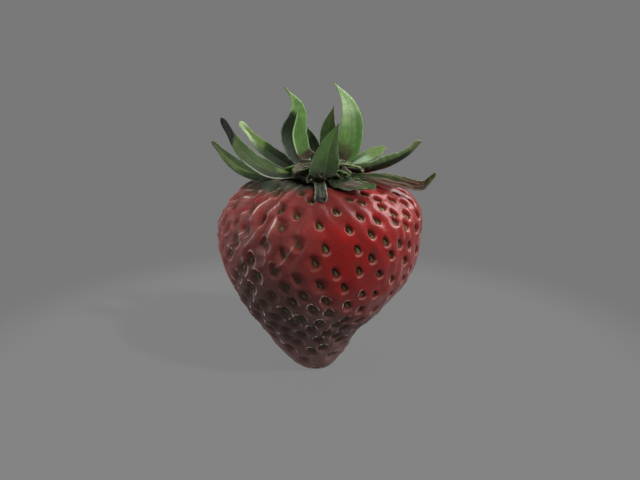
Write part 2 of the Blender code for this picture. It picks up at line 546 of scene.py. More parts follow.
@dataclass(frozen=True)
class FleshFinish:
    """Ripe flesh, glossy red where it is taut, with painted light and shade in its colour: a
    painted pink sheen where it is loose, painted shade darker and browner towards the lower left
    and the tip, painted shadow under the cap, painted shade in the pits and creases, and painted
    highlights on the folds and pit lips.
    """

    red: Colour = (0.305, 0.012, 0.010)
    # Painted shade: the lower left darkens as the side away from the lamps.
    painted_shade_red: Colour = (0.135, 0.038, 0.035)
    # Painted shade and painted reflection: the lowest part browns and greys, and the tip turns a
    # paler grey-pink.
    brown: Colour = (0.120, 0.065, 0.059)
    tip_reflection_brown: Colour = (0.250, 0.138, 0.128)
    # Painted shadow of the cap on the flesh just below it.
    cap_shadow_red: Colour = (0.110, 0.020, 0.017)
    # Painted rim light: a brighter red along the far left edge.
    rim_light_pink: Colour = (0.44, 0.090, 0.082)
    # Painted sheen: a pink-grey reflection on the loose upper left, patchy with rosy red.
    pink_sheen: Colour = (0.29, 0.115, 0.103)
    rosy: Colour = (0.36, 0.032, 0.036)
    # Painted shade where the skin turns away on the middle left.
    turned_away_shade: Colour = (0.185, 0.044, 0.038)
    # Darker red: random mottle, and painted shade in the crease valleys.
    mottle_and_crease_shade: Colour = (0.14, 0.028, 0.022)
    # Painted shade in the pits, tinted olive like the seeds.
    olive: Colour = (0.036, 0.034, 0.014)
    soft_pit_shade: Colour = (0.046, 0.043, 0.020)
    # The green top of the flesh under the sepals, darkened as painted shade.
    shaded_green_neck: Colour = (0.042, 0.050, 0.032)
    # Painted highlight: pale on the pits' lower lips and over the creases.
    pale: Colour = (0.56, 0.29, 0.235)
    # Painted highlight: bright on the folds beside the pits and on the crease crests.
    fold: Colour = (1.0, 0.80, 0.72)
    # Painted reflection: a soft grey-pink glow low on the front.
    reflection_haze: Colour = (0.17, 0.092, 0.085)
    reflection_haze_middle: Point = (0.3, -14.5, 14.0)
    reflection_haze_reach: float = 7.0
    cap_shadow_middle: Point = (3.5, -12.0, 39.0)
    cap_shadow_reach: float = 8.5
    roughness: float = 0.25
    loose_roughness: float = 0.42

    def material(self) -> bpy.types.Material:
        """Build the material, which reads the numbers stored on the flesh.

        Returns:
            The finished material.
        """
        skin = SkinShader("ripe_flesh")
        place = skin.place()
        across, deep, up = skin.axes(place)
        taut, away = skin.attribute("taut"), skin.attribute("away")
        cloud = skin.noise(place, 0.16, Detail=3)
        patchy = skin.noise(place, 0.33, Detail=3).ramp(0.40, 0.62)
        mottle = skin.noise(place, 0.5, Detail=4).ramp(0.45, 0.75)
        grain = skin.noise(place, 4, Detail=4, Roughness=0.65)
        # Painted shadow of the cap on the flesh just below it.
        under = skin.near(place, self.cap_shadow_middle, self.cap_shadow_reach, 0.55)
        # Painted reflection: a soft grey-pink glow low on the front.
        reflection_patch = skin.near(place, self.reflection_haze_middle, self.reflection_haze_reach, 0.3)
        reach = skin.work("LENGTH", skin.join(across, deep, 0)) + across * 0.35
        # The green top of the flesh under the sepals, darkened as painted shade.
        crown = (up - across * 0.08).ramp(37, 38.2) * reach.ramp(10.4, 8)
        pit = away.ramp(1.02, skin.mix(taut, 0.05, 0.45))
        lip = away.ramp(0.70, 0.90) * away.ramp(1.22, 0.95) * taut
        # Painted shade: darker towards the lower left, the side away from the lamps.
        lower = (across * 0.7 + up + cloud * 10).ramp(32, 13, 0, 0.95)
        # Painted shade and painted reflection: brown low down, paler grey-pink at the tip.
        lowest = (across * 0.5 + up + cloud * 5).ramp(30, 16, 0, 0.95)
        # Painted sheen: a patchy pink-grey reflection on the loose upper left.
        loose = across.ramp(2, -12) * up.ramp(16, 28) * 0.85
        # Painted shade where the skin turns away from the lamps on the middle left.
        turned_away = across.ramp(5, -3) * across.ramp(-15, -8) * up.ramp(12, 18, 0, 0.62)
        # Painted rim light: brighter red along the far left edge.
        left_rim_light = across.ramp(-13, -18.5) * up.ramp(11, 20) * 0.8
        pit_shown = pit * skin.mix(taut, 0.70, 0.92)
        # Painted shade in the pits, tinted olive.
        pit_shade = skin.mix(skin.attribute("depth"), self.soft_pit_shade, self.olive)
        # A painted highlight on each pit's lower lip.
        lip_highlight = lip * skin.attribute("along").ramp(-0.35, -0.85) * 0.5
        colour = skin.layers(
            self.red,
            (lower, self.painted_shade_red),
            (loose, skin.mix(patchy, self.pink_sheen, self.rosy)),
            (turned_away, self.turned_away_shade),
            (lowest, skin.mix(up.ramp(12, 2), self.brown, self.tip_reflection_brown)),
            (left_rim_light, self.rim_light_pink),
            (under * 0.7, self.cap_shadow_red),
            (mottle * 0.45, self.mottle_and_crease_shade),
            (reflection_patch * cloud.ramp(0.30, 0.60, 0.45, 0.95), self.reflection_haze),
            (crown, self.shaded_green_neck),
            *self.creases(skin),
            (pit_shown, pit_shade),
            (lip_highlight, self.pale),
            # A painted highlight on the fold beside each pit.
            (self.arc(skin, across), self.fold))
        speck = grain.ramp(0.30, 0.72, 0.78, 1.22)
        colour = skin.mix(1, colour, skin.join(speck, speck, speck), blend="MULTIPLY")
        rough = skin.mix(taut, self.loose_roughness, self.roughness)
        skin.bump(grain, 0.05)
        skin.set(Base_Color=colour, Roughness=rough + grain * 0.12 + pit * 0.30,
                 Subsurface_Weight=0.12, Subsurface_Radius=(1.0, 0.25, 0.12),
                 Subsurface_Scale=1.2 * MM, Specular_IOR_Level=0.28, Coat_Roughness=0.13,
                 Coat_Weight=pit.ramp(0.6, 0) * taut * across.ramp(5, 13, 0.10, 0.60))
        return skin.material

    def creases(self, skin: SkinShader) -> list[tuple[Wire, Colour]]:
        """Paint the creases of the loose flesh: painted shade in the valleys, painted highlights on
        each crest.

        Args:
            skin: The wiring of the flesh's material.

        Returns:
            The layers of colour.
        """
        crease, share = skin.attribute("crease"), skin.attribute("crease_share")
        return [(crease.ramp(0.6, 1.3) * share * 0.55, self.mottle_and_crease_shade),
                (crease.ramp(0.7, 0) * share * 0.25, self.pale),
                (crease.ramp(0.15, 0.03) * share * 0.55, self.fold)]

    @staticmethod
    def arc(skin: SkinShader, across: Wire) -> Wire:
        """Mark the painted highlight on the thin fold of skin that half rings each pit of the loose
        flesh.

        Args:
            skin: The wiring of the flesh's material.
            across: The place from left to right.

        Returns:
            The painted highlight's strength, 0 to 1.
        """
        away, start = skin.attribute("away"), across.ramp(2, 9, -0.05, 0.45)
        shown = skin.attribute("facing").ramp(start, start + 0.45)
        return away.ramp(1, 1.06) * away.ramp(1.2, 1.11) * shown * skin.attribute("fold_share")


@dataclass(frozen=True)
class SeedFinish:
    """A seed's thin hard coat: olive, some browner than others, with painted shade at its upper end
    and where it lies deep, and a painted highlight on its lower end.
    """

    olive: Colour = (0.060, 0.080, 0.030)
    straw: Colour = (0.13, 0.15, 0.060)
    # The seeds' own brown, also laid on as painted shade.
    brown: Colour = (0.045, 0.040, 0.018)
    painted_highlight_cream: Colour = (0.36, 0.34, 0.20)

    def material(self) -> bpy.types.Material:
        """Build the material, which reads each seed's own number and the place along it.

        Returns:
            The finished material.
        """
        skin = SkinShader("seed_coat")
        pick, taut, end = (skin.attribute(name) for name in ("pick", "taut", "end"))
        grain = skin.noise(skin.place(), 6)
        colour = skin.layers(
            self.olive,
            (pick.ramp(0.4, 1), self.straw),
            (pick.ramp(0.25, 0), self.brown),
            (grain.ramp(0.4, 0.8, 0, 0.5), self.brown),
            # Painted shade where the seed lies deep and at its upper end; a painted highlight on
            # its lower end.
            (taut.ramp(0.6, 0, 0, 0.25), self.brown),
            (end.ramp(0, 0.8, 0, 0.75), self.brown),
            (end.ramp(-0.15, -0.75, 0, 0.75) * taut, self.painted_highlight_cream))
        skin.bump(grain, 0.02)
        skin.set(Base_Color=colour, Roughness=grain.ramp(0.3, 0.7, 0.35, 0.5))
        return skin.material


@dataclass(frozen=True)
class Patch:
    """A part of a blade with a colour laid on it, between shares of its length and width: its own
    colour, or painted light or shade.
    """

    colour: Colour
    along: Span = (-1, 2)
    side: Span = (-2, 2)
    strength: float = 1.0
    soft: float = 0.06

    def layer(self, along: Wire, side: Wire) -> tuple[Wire, Colour]:
        """Work out how much the patch covers.

        Args:
            along: The share of the blade's length.
            side: The share of its half width, -1 to 1.

        Returns:
            The layer of colour.
        """
        share = along.ramp(self.along[0] - self.soft, self.along[0] + self.soft) * self.strength
        share *= along.ramp(self.along[1] + self.soft, self.along[1] - self.soft)
        share *= side.ramp(self.side[0] - self.soft, self.side[0] + self.soft)
        return share * side.ramp(self.side[1] + self.soft, self.side[1] - self.soft), self.colour


@dataclass(frozen=True)
class LeafFinish:
    """A sepal's green, from its base to its tip, with veins and dried parts, pale margins that are
    partly a fringe of hairs and partly a painted rim highlight, and patches, some of them painted
    light or shade.
    """

    base: Colour = (0.035, 0.045, 0.022)
    middle: Colour = (0.075, 0.150, 0.035)
    tip: Colour = (0.110, 0.190, 0.050)
    scorch: Colour = (0.030, 0.022, 0.015)
    pale_margin_and_rim_light: Colour = (0.30, 0.33, 0.24)
    vein: Colour = (0.16, 0.25, 0.08)
    base_until: float = 0.30
    tip_from: float = 0.65
    scorch_from: float = 2.0
    scorch_side: float = 0.0
    dryness: float = 0.0
    dried: Colour = (0.17, 0.085, 0.065)
    glow: float = 0.35
    patches: tuple[Patch, ...] = ()

    def material(self, name: str) -> bpy.types.Material:
        """Build the material, which reads the numbers stored along and across the blade.

        Args:
            name: The material's name.

        Returns:
            The finished material.
        """
        skin = SkinShader(name)
        place = skin.place()
        along, side = skin.attribute("along"), skin.attribute("side")
        rim = skin.work("ABSOLUTE", side)
        wander = along + skin.noise(place, 0.45, Detail=3) * 0.24 - 0.12
        nearly = skin.mix(0.25, along, wander)
        colour = skin.layers(
            self.base,
            (wander.ramp(self.base_until - 0.18, self.base_until + 0.12), self.middle),
            (wander.ramp(self.tip_from - 0.15, self.tip_from + 0.2), self.tip))
        if self.dryness > 0:
            dry = skin.noise(place, 0.5, Detail=4, Distortion=1)
            dry = dry.ramp(1 - self.dryness, 1.25 - self.dryness)
            colour = skin.mix(dry, colour, self.dried)
        blotch = skin.noise(place, 0.75, Detail=3).ramp(0.36, 0.64, 0.84, 1.16)
        blotch = skin.join(blotch, blotch, skin.work("POWER", blotch, 0.6))
        colour = skin.mix(1, colour, blotch, blend="MULTIPLY")
        veins = skin.noise(skin.join(along * 3, side * 16, 0), 1)
        fray = skin.noise(place, 1.4).ramp(0.35, 0.65, 0.10, 0.75)
        burnt = nearly + side * self.scorch_side
        colour = skin.layers(
            colour,
            (veins.ramp(0.48, 0.75, 0, 0.3), self.vein),
            (rim.ramp(0.08, 0) * 0.2, self.vein),
            *(patch.layer(nearly, side) for patch in self.patches),
            # Pale margins: partly the fringe of hairs, partly a painted rim highlight.
            (rim.ramp(0.91, 1) * fray, self.pale_margin_and_rim_light),
            (burnt.ramp(self.scorch_from, self.scorch_from + 0.04), self.scorch))
        skin.bump(veins * 0.7 + skin.noise(place, 3, Detail=3) * 0.3, 0.12)
        skin.set(Base_Color=colour, Roughness=veins.ramp(0.3, 0.7, 0.50, 0.66),
                 Specular_IOR_Level=0.32, Subsurface_Weight=self.glow,
                 Subsurface_Radius=(0.5, 1.0, 0.3), Subsurface_Scale=0.8 * MM)
        return skin.material


@dataclass(frozen=True)
class FibreFinish:
    """Dull plant fibre in two tones, mottled along its length."""

    name: str
    light: Colour
    dark: Colour
    fineness: float = 1.2
    roughness: float = 0.7

    def material(self) -> bpy.types.Material:
        """Build the two-toned material.

        Returns:
            The finished material.
        """
        skin = SkinShader(self.name)
        cloud = skin.noise(skin.place(), self.fineness, Detail=4, Roughness=0.6)
        skin.bump(cloud, 0.15)
        skin.set(Base_Color=skin.mix(cloud.ramp(0.35, 0.65), self.dark, self.light),
                 Roughness=self.roughness)
        return skin.material


@dataclass
class Fruit:
    """The flesh with its pits, and the seed that sits in each pit.

    A station is its height and how far the flesh reaches left, right, front and back.
    """

    stations: tuple[tuple[float, ...], ...] = (
        (0.0, 3.0, 3.0, 3.0, 3.0),
        (0.5, 3.8, 3.5, 3.7, 3.7),
        (2.0, 5.7, 4.7, 5.3, 5.3),
        (5.0, 8.3, 6.7, 7.6, 7.4),
        (9.0, 10.8, 9.2, 10.1, 10.0),
        (14.0, 14.3, 14.2, 14.2, 14.0),
        (19.0, 16.9, 18.1, 17.2, 17.0),
        (24.0, 18.7, 20.3, 18.9, 18.6),
        (28.0, 18.9, 20.7, 19.3, 19.0),
        (32.0, 18.1, 20.9, 18.8, 18.6),
        (35.5, 15.5, 18.9, 16.4, 16.6),
        (37.8, 12.0, 15.0, 12.6, 13.2),
        (38.9, 8.4, 10.6, 8.8, 9.4),
        (38.6, 6.0, 7.6, 6.2, 6.6),
        (37.9, 4.4, 5.6, 4.6, 4.8),
    )
    cage_sides: int = 40
    rings_per_station: int = 2
    crown_lean: float = 0.05
    crown_lean_from: float = 25.0
    crown_lean_to: float = 37.0
    heart: Point = (0.0, 0.0, 22.0)
    skin_steps: int = 125
    seed_count: int = 325
    seed_crowding: float = 0.96
    seed_top: float = 0.86
    seed_jitter: float = 0.035
    crowded_way: Point = (0.66, -0.46, 0.59)
    crowded_reach: float = 1.05
    crowded_pull: float = 0.30
    seed_width: float = 0.42
    seed_length: float = 0.66
    seed_height: float = 0.26
    seed_sink: float = 0.80
    loose_sink: float = 0.47
    seed_slide: float = 0.18
    pit_width: float = 0.72
    pit_length: float = 1.20
    pit_depth: float = 0.85
    hollow_depth: float = 0.40
    fold_reach: float = 1.60
    fold_height: float = 0.14
    swell_height: float = 0.40
    furrow_depth: float = 0.15
    ripple_height: float = 0.70
    random_seed: int = 11
    beds: ShapeTree = field(init=False)

    def cage(self) -> bpy.types.Mesh:
        """Loft the plain cage of the fruit from its stations.

        Returns:
            The closed cage mesh.
        """
        heights = [station[:3] for station in self.stations]
        depths = [(*station[3:], 0.0) for station in self.stations]
        steps = (len(self.stations) - 1) * self.rings_per_station
        rings = []
        for step in range(steps + 1):
            height, left, right = through(heights, step / steps)
            front, back, _ = through(depths, step / steps)
            lean = self.crown_lean * smooth_step(height, self.crown_lean_from, self.crown_lean_to)
            ring = []
            for side in range(self.cage_sides):
                turn = 2 * math.pi * side / self.cage_sides
                across = math.cos(turn) * (right if math.cos(turn) > 0 else left)
                deep = math.sin(turn) * (back if math.sin(turn) > 0 else front)
                ring.append(Vector((across, deep, height + lean * deep)))
            rings.append(ring)
        return skin_rings("fruit_cage", rings)

    def tree(self, name: str, *sizes: str, **inputs: Any) -> ShapeTree:
        """Start a tree with the inputs that the seeds' beds need, sizes and more of its own."""
        return ShapeTree(name, Count=self.seed_count, Jitter=self.seed_jitter,
                         Seed=self.random_seed, **in_metres(self, *sizes), **inputs)

    def cast(self, tree: ShapeTree, way: Wire) -> tuple[Wire, Wire]:
        """Send points out from the heart of the fruit to its smooth skin.

        Args:
            tree: The tree that it is done in.
            way: The direction for each point.

        Returns:
            The place on the skin and the skin's direction there.
        """
        smooth = tree.geo("SubdivisionSurface", tree["Geometry"], Level=3)
        heart = tree.join(*(value * MM for value in self.heart))
        ray = tree.call("GeometryNodeRaycast", data_type="FLOAT_VECTOR", Target_Geometry=smooth,
                        Attribute=tree.geo("InputNormal"), Source_Position=heart,
                        Ray_Direction=way, Ray_Length=1.0)
        place, normal = (Wire(tree, ray.outputs[name]) for name in ("Hit Position", "Attribute"))
        return place, tree.work("NORMALIZE", normal)

    def make_beds(self) -> None:
        """Build the tree that lays out the seeds' beds in one spiral from the tip upwards.

        Each point carries its bed's directions, its size and a number of its own.
        """
        tree = self.tree("seed_beds")
        index = tree.geo("InputIndex")
        share = tree.work("POWER", (index + 0.5) / tree["Count"], self.seed_crowding)
        rise = share * (1 + self.seed_top) - 1
        way = tree.polar(index * GOLDEN_TURN, tree.work("SQRT", 1 - rise * rise), rise)
        way += tree.random((-1.0, -1.0, -1.0), (1.0, 1.0, 1.0)) * tree["Jitter"]
        gather = self.crowded_way - way
        near = tree.work("LENGTH", gather)
        way += gather * near.ramp(self.crowded_reach, 0.2 * self.crowded_reach,
                                  0, self.crowded_pull)
        place, normal = self.cast(tree, way)
        points = tree.store(tree.geo("Points", tree["Count"]), place=place, skin=normal,
                            pick=tree.random(0, 1))
        points = tree.geo("SetPosition", points, Position=tree.vector("place"))
        normal = tree.vector("skin")
        across, _, up = tree.axes(tree.vector("place") * TO_MM)
        low = up.ramp(20, 14)
        tilt = tree.mix(low, across.ramp(-5, -16, math.radians(20), math.radians(-35)),
                        across.ramp(-8, 10, math.radians(45), math.radians(-40)))
        swing = across.ramp(-14, 14, -math.pi / 2, math.pi / 2, smooth=False)
        upward = UP - normal * tree.work("DOT_PRODUCT", normal, UP)
        upward = tree.work("NORMALIZE", upward)
        rightward = tree.work("CROSS_PRODUCT", upward, normal)

        def aside(turn: Wire) -> Wire:
            """Return the way up the skin, turned to the left."""
            return upward * tree.work("COSINE", turn) - rightward * tree.work("SINE", turn)

        taut = (up * 0.8 + across * 1.6).ramp(15, 33)
        points = tree.store(points, fold=aside(swing), long=aside(tilt),
                            cross=aside(tilt - math.pi / 2), taut=taut,
                            depth=tree.mix(taut, tree.mix(low, 0.35, 0.55), 1))
        tree.feed(tree.result, points)
        self.beds = tree

    def laid_beds(self, tree: ShapeTree) -> Wire:
        """Lay the seeds' beds inside another tree and return their points."""
        given = {name: tree[name] for name in ("Geometry", "Count", "Jitter", "Seed")}
        return tree.geo("Group", node_tree=self.beds.tree, **given)

    @staticmethod
    def crease(tree: ShapeTree, girth: Wire, height: Wire, slant: float, spacing: float,
               warp: float) -> Wire:
        """Draw long thin creases that run side by side at a slant over the skin.

        Args:
            tree: The tree that it is done in.
            girth: The way round the fruit, in millimetres.
            height: The height, in millimetres.
            slant: The creases' direction, in degrees from level.
            spacing: The distance between them, in millimetres.
            warp: How far they wander, in spacings.

        Returns:
            How far each point is from the nearest crest, in millimetres.
        """
        cosine, sine = math.cos(math.radians(slant)), math.sin(math.radians(slant))
        way = girth * cosine + height * sine
        over = height * cosine - girth * sine
        cloud = tree.noise(tree.join(way * 0.7, over * 1.1, 0), 0.13)
        return tree.work("PINGPONG", cloud * warp + over * (1 / spacing), 0.5) * spacing

    def flesh(self) -> bpy.types.Object:
        """Shape the flesh: a fine even skin, sunk at each seed and ridged between them.

        Returns:
            The flesh.
        """
        tree = self.tree("flesh_shape", "pit_width", "pit_length", "pit_depth", "hollow_depth",
                         "fold_reach", "fold_height", "swell_height", "furrow_depth",
                         "ripple_height", Steps=self.skin_steps,
                         Material=FleshFinish().material())
        steps = tree["Steps"]
        cube = tree.geo("MeshCube", (2.0, 2.0, 2.0), steps, steps, steps)
        way = tree.work("TANGENT", tree.geo("InputPosition") * (math.pi / 4))
        place, normal = self.cast(tree, way)
        shape = tree.store(cube, place=place, skin=normal)
        place, normal = tree.vector("place"), tree.vector("skin")
        across, deep, height = tree.axes(place * TO_MM)

        # What each point takes from the nearest seed's bed.
        beds = self.laid_beds(tree)
        index = tree.geo("SampleNearest", beds, Sample_Position=place, domain="POINT")
        middle, long_way, cross_way, fold_way = (
            tree.borrow(beds, tree.vector(name), index)
            for name in ("place", "long", "cross", "fold"))
        taut, pick, depth = (tree.borrow(beds, tree.number(name), index)
                             for name in ("taut", "pick", "depth"))
        offset = place - middle

        # The pit, longer than it is wide and pointed at its upper end.
        spread = tree.mix(taut, 1.42, 1)
        along = tree.work("DOT_PRODUCT", offset, long_way) / (tree["Pit Length"] * spread)
        beside = tree.work("DOT_PRODUCT", offset, cross_way) / (tree["Pit Width"] * spread)
        beside *= along * 0.25 + 1
        away = tree.work("SQRT", along * along + beside * beside)
        pit = away.ramp(tree.mix(taut, 1.15, 1), 0.35)

        # The fold that half rings a pit, and the hollow that the pit lies in.
        far = tree.work("LENGTH", offset) / tree["Fold Reach"]
        facing = tree.work("DOT_PRODUCT", tree.work("NORMALIZE", offset), fold_way)
        fold_share = tree.work("MAXIMUM", (height - across * 0.25).ramp(23, 18),
                               across.ramp(-6, -11))
        fold_share *= pick.ramp(0.08, 0.30) * height.ramp(33, 29)
        arc = away.ramp(0.85, 1.05) * away.ramp(1.45, 1.10) * facing.ramp(0, 0.40) * fold_share
        shoulder = across.ramp(5, 11) * height.ramp(26, 31, 0.10, 0.38)
        hollow = tree.mix(facing.ramp(-0.2, 0.7), far.ramp(1.15, 0.10), far.ramp(1.02, 0.72))
        hollow *= tree.mix(taut, 1, tree.work("MAXIMUM", shoulder, 0.10))

        # The creases of the loose skin, and the furrows of the taut skin.
        girth = tree.work("ARCTAN2", across, deep * -1) * 15
        furrow = self.crease(tree, girth, height, 112, 3.4, 2.5).ramp(0, 1.5) * taut
        crease = tree.mix(across.ramp(0, 4), self.crease(tree, girth, height, 55, 2.7, 3.2),
                          self.crease(tree, girth, height, 92, 1.5, 1.6))
        left = height.ramp(24, 29) * across.ramp(3, -3)
        right = across.ramp(12, 16.5, 0, 0.5) * height.ramp(35, 30)
        broken = tree.noise(place * TO_MM, 0.30, Detail=1).ramp(0.43, 0.54)
        broken = tree.mix(across.ramp(4, 8), broken * across.ramp(-2, -7), broken)
        crease_share = (left + right) * broken
        wrinkle = crease.ramp(0.32, 0) * crease_share

        ripple = tree.noise(place * TO_MM, 0.16, Detail=1) - 0.5
        move = (ripple * tree["Ripple Height"]
                + (arc + wrinkle) * tree["Fold Height"]
                + crease.ramp(1.2, 0) * left * tree["Swell Height"]
                - furrow * tree["Furrow Depth"]
                - pit * depth * tree["Pit Depth"]
                - hollow * tree["Hollow Depth"])
        shape = tree.store(shape, away=away, along=along, facing=facing, fold_share=fold_share,
                           crease=crease, crease_share=crease_share, depth=depth, taut=taut,
                           spot=place + normal * (move * height.ramp(0, 1.2)))
        tree.finish(tree.geo("SetPosition", shape, Position=tree.vector("spot")))
        return tree.run("flesh_skin", self.cage())

    def seeds(self) -> bpy.types.Object:
        """Lay one small pointed seed in each pit.

        Returns:
            All the seeds as one object.
        """
        tree = self.tree("seed_scatter", "seed_width", "seed_length", "seed_height",
                         "seed_sink", "loose_sink", "seed_slide",
                         Material=SeedFinish().material())
        across, deep, up = tree.axes(tree.geo("InputPosition"))
        ball = tree.store(tree.geo("MeshUVSphere", 8, 6, 1.0), end=up)
        narrow = 1 - up * 0.35
        spot = tree.join(across * narrow * tree["Seed Width"], up * tree["Seed Length"],
                         deep * narrow * tree["Seed Height"])
        seed = tree.geo("SetPosition", ball, Position=spot)
        skin, long_way = tree.vector("skin"), tree.vector("long")
        turn = tree.out("FunctionNodeAxesToRotation", skin, long_way,
                        primary_axis="Z", secondary_axis="Y")
        sink = (1 - tree.number("taut")) * tree["Loose Sink"]
        sink += tree.number("depth") * tree["Seed Sink"]
        down = (skin * sink + long_way * tree["Seed Slide"]) * -1
        beds = tree.geo("SetPosition", self.laid_beds(tree), Offset=down)
        tree.finish(tree.geo("InstanceOnPoints", beds, Instance=seed, Rotation=turn,
                             Scale=tree.number("pick").ramp(0, 1, 0.88, 1.08, smooth=False)))
        return tree.run("seeds", self.cage())

    def build(self) -> BVHTree:
        """Make the flesh and the seeds.

        Returns:
            The finished skin, for what lies on it.
        """
        self.make_beds()
        flesh = self.flesh()
        declare(flesh, Slot.FLESH, "flesh")
        declare(self.seeds(), Slot.FLESH)
        shape = bmesh.new()
        shape.from_mesh(flesh.data)
        skin = BVHTree.FromBMesh(shape)
        shape.free()
        return skin


@dataclass
class Sepal:
    """One leaf of the cap: its midrib in millimetres, from the disc to the tip, and its blade.

    heading is the way it leaves the disc, in degrees from +X towards +Y. The blade lies level
    across that heading and is turned about its midrib by roll, at its base and at its tip.
    cup is how far its two halves curl up, in degrees from midrib to edge: first the half on
    the negative side, then the other. taper is how long the blade keeps its width.
    """

    name: str
    heading: float
    midrib: tuple[Point, ...]
    half_width: float
    finish: LeafFinish
    widest: float = 0.4
    base_share: float = 0.5
    cup: Span = (35, 35)
    roll: Span = (0, 0)
    taper: float = 1.0
    wave: float = 0.06
    ragged: float = 0.012
    crumple: float = 0.0
    tip_width: float = 0.16
    slot: Slot = Slot.LEAF
    length_steps: int = 56
    width_steps: int = 18
    thickness: float = 0.38
    rib: float = 0.16
    round_from: float = 0.92
    least_width: float = 0.06
    clearance: float = 0.05

    def half_width_at(self, along: float) -> float:
        """Work out how wide the blade is.

        Args:
            along: The share of the blade's length.

        Returns:
            Its half width there, in millimetres.
        """
        if along < self.widest:
            swell = smooth_step(along, -0.1, self.widest)
            width = self.base_share + (1 - self.base_share) * swell
        else:
            fall = (along - self.widest) / (1 - self.widest)
            width = max(1 - fall, 0.0) ** self.taper * (1 + self.taper * fall)
        width = max(self.half_width * width, self.tip_width)
        nearing = max(along - self.round_from, 0.0) / (1 - self.round_from)
        return max(width * math.sqrt(1 - nearing**2), self.least_width)

    def section(self, along: float, shares: list[float], skin: BVHTree) -> list[Vector]:
        """Work out one closed cross-section.

        Args:
            along: The share of the blade's length.
            shares: The shares of its half width, from side to side.
            skin: The fruit's skin, which the blade stays off.

        Returns:
            The points of its top face from side to side, then its back face the other way.
        """
        step = 0.01
        centre = through(self.midrib, along)
        tangent = through(self.midrib, along + step) - through(self.midrib, along - step)
        tangent.normalize()
        heading = math.radians(self.heading)
        level = Vector((-math.sin(heading), math.cos(heading), 0.0))
        level = (level - tangent * level.dot(tangent)).normalized()
        roll = self.roll[0] + (self.roll[1] - self.roll[0]) * along
        across = Matrix.Rotation(math.radians(roll), 3, tangent) @ level
        upward = tangent.cross(across)
        half_width = self.half_width_at(along)
        top, back = [], []
        for share in shares:
            curl = math.radians(max(self.cup[share > 0], 1.0))
            angle = share * curl
            ruffle = (self.wave * half_width * share * share
                      * math.sin(along * 17 + self.heading + share * 2))
            ruffle += self.crumple * (math.sin(share * 9 + along * 7)
                                      + 0.6 * math.sin(share * 5 - along * 31))
            fray = math.sin(along * 29 + share * 3) + math.sin(along * 61 + self.heading)
            side = math.sin(angle) / curl * half_width * (1 + self.ragged * fray * abs(share))
            rise = (1 - math.cos(angle)) / curl * half_width + ruffle
            normal = upward * math.cos(angle) - across * math.sin(angle)
            point = centre + across * side + upward * rise
            half_thick = self.thickness * (1 - 0.65 * share**4) / 2
            rib = self.rib * math.exp(-((share / 0.13) ** 2)) * (1 - along)
            under = point - normal * (half_thick + rib)
            lift = self.lift_off(skin, under)
            top.append(point + normal * (half_thick - rib * 0.6) + lift)
            back.append(under + lift)
        return top + back[::-1]

    def lift_off(self, skin: BVHTree, point: Vector) -> Vector:
        """Find the move that takes a point just off the fruit's skin.

        Args:
            skin: The fruit's skin.
            point: The point, in millimetres.

        Returns:
            The move, nothing for a point that isn't above or below the skin.
        """
        nearest, normal, _, distance = skin.find_nearest(point * MM)
        height = (point * MM - nearest).dot(normal)
        if abs(height) < 0.5 * distance:
            return Vector((0.0, 0.0, 0.0))
        return normal * max(self.clearance - height / MM, 0.0)

    def build(self, skin: BVHTree) -> bpy.types.Object:
        """Make the blade as one thin closed mesh that follows its midrib.

        Args:
            skin: The fruit's skin, which the blade stays off.

        Returns:
            The finished sepal.
        """
        ways = [step / self.length_steps for step in range(self.length_steps + 1)]
        shares = [2 * place / self.width_steps - 1 for place in range(self.width_steps + 1)]
        rings = [self.section(along, shares, skin) for along in ways]
        mesh = skin_rings(self.name + "_blade", rings, thin=True)
        round_shares = shares + shares[::-1]
        for name, values in (("along", [way for way in ways for _ in round_shares]),
                             ("side", round_shares * len(ways))):
            mesh.attributes.new(name, "FLOAT", "POINT").data.foreach_set("value", values)
        material = self.finish.material(self.name.replace("sepal_", "") + "_leaf")
        return present(mesh, material, self.slot, self.name)


# Painted light: a very pale green for backlit tips and a highlight line.
PAINTED_LIGHT_CREAM = (0.60, 0.78, 0.42)
PALE_GREEN = (0.24, 0.42, 0.13)
LIGHT_GREEN = (0.12, 0.25, 0.06)
LEAF_GREEN = (0.060, 0.105, 0.032)
OLIVE_GREEN = (0.066, 0.098, 0.026)
DARK_GREEN = (0.024, 0.036, 0.018)
BLACKENED = (0.012, 0.012, 0.011)
BROWN_TIP = (0.11, 0.045, 0.020)
DRY_PINK = (0.135, 0.062, 0.048)
DRY_BEIGE = (0.165, 0.140, 0.110)
YELLOW_GREEN = (0.17, 0.25, 0.07)
BROWN_BASE = (0.070, 0.048, 0.030)


